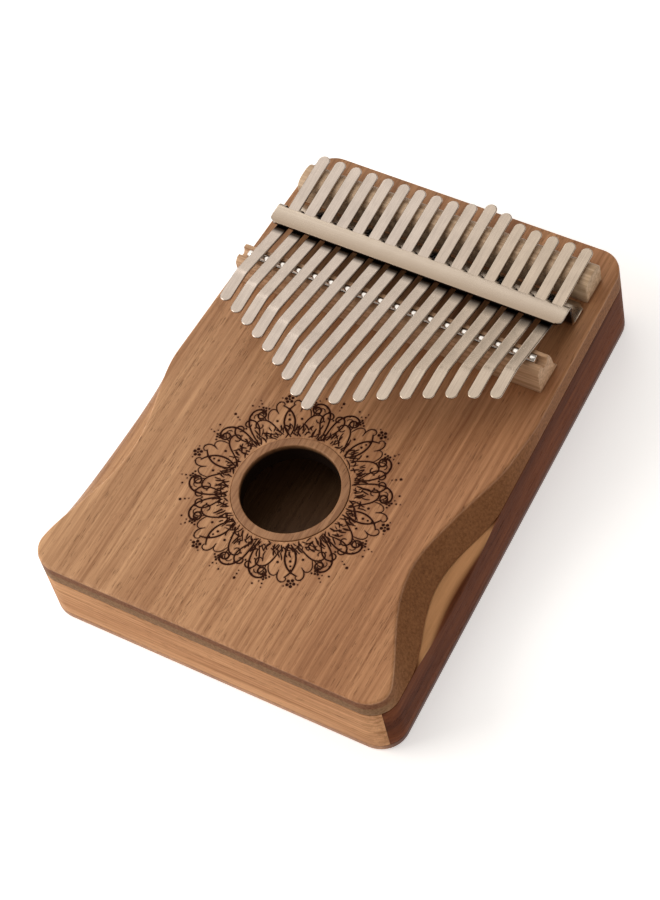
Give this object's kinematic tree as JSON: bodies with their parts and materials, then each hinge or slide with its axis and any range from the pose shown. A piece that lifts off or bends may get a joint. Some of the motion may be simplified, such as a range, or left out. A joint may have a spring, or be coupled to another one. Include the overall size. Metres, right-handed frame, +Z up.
{
  "type": "mbira",
  "caption": "Hollow wooden box thumb piano with a round sound hole, arm-rest scoops, two wooden bridges and plucked steel tines under a folded steel strip.",
  "frame": {"origin": "centre of the box's underside", "axes": "+Z up out of the sound board, +Y along the box toward the head with the bridges, +X to the right of somebody at the tail"},
  "size_m": [0.1322, 0.185, 0.0565],
  "materials": {
    "top_wood": "satin",
    "back_wood": "satin",
    "side_wood": "satin",
    "end_wood": "satin",
    "ring_wood": "satin",
    "bridge_wood": "matt",
    "rod_steel": "polished",
    "strip_steel": "satin nickel",
    "screw_steel": "black",
    "tine_steel": "satin nickel"
  },
  "bodies": {
    "case": {"top_board": "top_wood", "back_board": "back_wood", "left_side_board": "side_wood", "right_side_board": "side_wood", "head_board": "end_wood", "tail_board": "end_wood", "sound_hole_ring": "ring_wood", "rear_bridge": "bridge_wood", "front_bridge": "bridge_wood", "bridge_rod": "rod_steel", "pressure_strip": "strip_steel", "strip_screw_1": "screw_steel", "strip_screw_2": "screw_steel", "strip_screw_3": "screw_steel", "strip_screw_4": "screw_steel", "strip_screw_5": "screw_steel"},
    "tine_01": {"tine_01": "tine_steel"},
    "tine_02": {"tine_02": "tine_steel"},
    "tine_03": {"tine_03": "tine_steel"},
    "tine_04": {"tine_04": "tine_steel"},
    "tine_05": {"tine_05": "tine_steel"},
    "tine_06": {"tine_06": "tine_steel"},
    "tine_07": {"tine_07": "tine_steel"},
    "tine_08": {"tine_08": "tine_steel"},
    "tine_09": {"tine_09": "tine_steel"},
    "tine_10": {"tine_10": "tine_steel"},
    "tine_11": {"tine_11": "tine_steel"},
    "tine_12": {"tine_12": "tine_steel"},
    "tine_13": {"tine_13": "tine_steel"},
    "tine_14": {"tine_14": "tine_steel"},
    "tine_15": {"tine_15": "tine_steel"},
    "tine_16": {"tine_16": "tine_steel"},
    "tine_17": {"tine_17": "tine_steel"}
  },
  "joints": [
    {"name": "tine_01_pluck", "type": "hinge", "parent": "case", "child": "tine_01", "pos_m": [-0.0504, 0.0365, 0.04525], "axis": [1, 0, 0], "range_deg": [-0.3, 0.5], "stiffness_Nm_per_rad": 0.4},
    {"name": "tine_02_pluck", "type": "hinge", "parent": "case", "child": "tine_02", "pos_m": [-0.0441, 0.0365, 0.04525], "axis": [1, 0, 0], "range_deg": [-0.3, 0.5], "stiffness_Nm_per_rad": 0.4},
    {"name": "tine_03_pluck", "type": "hinge", "parent": "case", "child": "tine_03", "pos_m": [-0.0378, 0.0365, 0.04525], "axis": [1, 0, 0], "range_deg": [-0.3, 0.5], "stiffness_Nm_per_rad": 0.4},
    {"name": "tine_04_pluck", "type": "hinge", "parent": "case", "child": "tine_04", "pos_m": [-0.0315, 0.0365, 0.04525], "axis": [1, 0, 0], "range_deg": [-0.3, 0.5], "stiffness_Nm_per_rad": 0.4},
    {"name": "tine_05_pluck", "type": "hinge", "parent": "case", "child": "tine_05", "pos_m": [-0.0252, 0.0365, 0.04525], "axis": [1, 0, 0], "range_deg": [-0.3, 0.5], "stiffness_Nm_per_rad": 0.4},
    {"name": "tine_06_pluck", "type": "hinge", "parent": "case", "child": "tine_06", "pos_m": [-0.0189, 0.0365, 0.04525], "axis": [1, 0, 0], "range_deg": [-0.3, 0.5], "stiffness_Nm_per_rad": 0.4},
    {"name": "tine_07_pluck", "type": "hinge", "parent": "case", "child": "tine_07", "pos_m": [-0.0126, 0.0365, 0.04525], "axis": [1, 0, 0], "range_deg": [-0.3, 0.5], "stiffness_Nm_per_rad": 0.4},
    {"name": "tine_08_pluck", "type": "hinge", "parent": "case", "child": "tine_08", "pos_m": [-0.0063, 0.0365, 0.04525], "axis": [1, 0, 0], "range_deg": [-0.3, 0.5], "stiffness_Nm_per_rad": 0.4},
    {"name": "tine_09_pluck", "type": "hinge", "parent": "case", "child": "tine_09", "pos_m": [0, 0.0365, 0.04525], "axis": [1, 0, 0], "range_deg": [-0.3, 0.5], "stiffness_Nm_per_rad": 0.4},
    {"name": "tine_10_pluck", "type": "hinge", "parent": "case", "child": "tine_10", "pos_m": [0.0063, 0.0365, 0.04525], "axis": [1, 0, 0], "range_deg": [-0.3, 0.5], "stiffness_Nm_per_rad": 0.4},
    {"name": "tine_11_pluck", "type": "hinge", "parent": "case", "child": "tine_11", "pos_m": [0.0126, 0.0365, 0.04525], "axis": [1, 0, 0], "range_deg": [-0.3, 0.5], "stiffness_Nm_per_rad": 0.4},
    {"name": "tine_12_pluck", "type": "hinge", "parent": "case", "child": "tine_12", "pos_m": [0.0189, 0.0365, 0.04525], "axis": [1, 0, 0], "range_deg": [-0.3, 0.5], "stiffness_Nm_per_rad": 0.4},
    {"name": "tine_13_pluck", "type": "hinge", "parent": "case", "child": "tine_13", "pos_m": [0.0252, 0.0365, 0.04525], "axis": [1, 0, 0], "range_deg": [-0.3, 0.5], "stiffness_Nm_per_rad": 0.4},
    {"name": "tine_14_pluck", "type": "hinge", "parent": "case", "child": "tine_14", "pos_m": [0.0315, 0.0365, 0.04525], "axis": [1, 0, 0], "range_deg": [-0.3, 0.5], "stiffness_Nm_per_rad": 0.4},
    {"name": "tine_15_pluck", "type": "hinge", "parent": "case", "child": "tine_15", "pos_m": [0.0378, 0.0365, 0.04525], "axis": [1, 0, 0], "range_deg": [-0.3, 0.5], "stiffness_Nm_per_rad": 0.4},
    {"name": "tine_16_pluck", "type": "hinge", "parent": "case", "child": "tine_16", "pos_m": [0.0441, 0.0365, 0.04525], "axis": [1, 0, 0], "range_deg": [-0.3, 0.5], "stiffness_Nm_per_rad": 0.4},
    {"name": "tine_17_pluck", "type": "hinge", "parent": "case", "child": "tine_17", "pos_m": [0.0504, 0.0365, 0.04525], "axis": [1, 0, 0], "range_deg": [-0.3, 0.5], "stiffness_Nm_per_rad": 0.4}
  ]
}
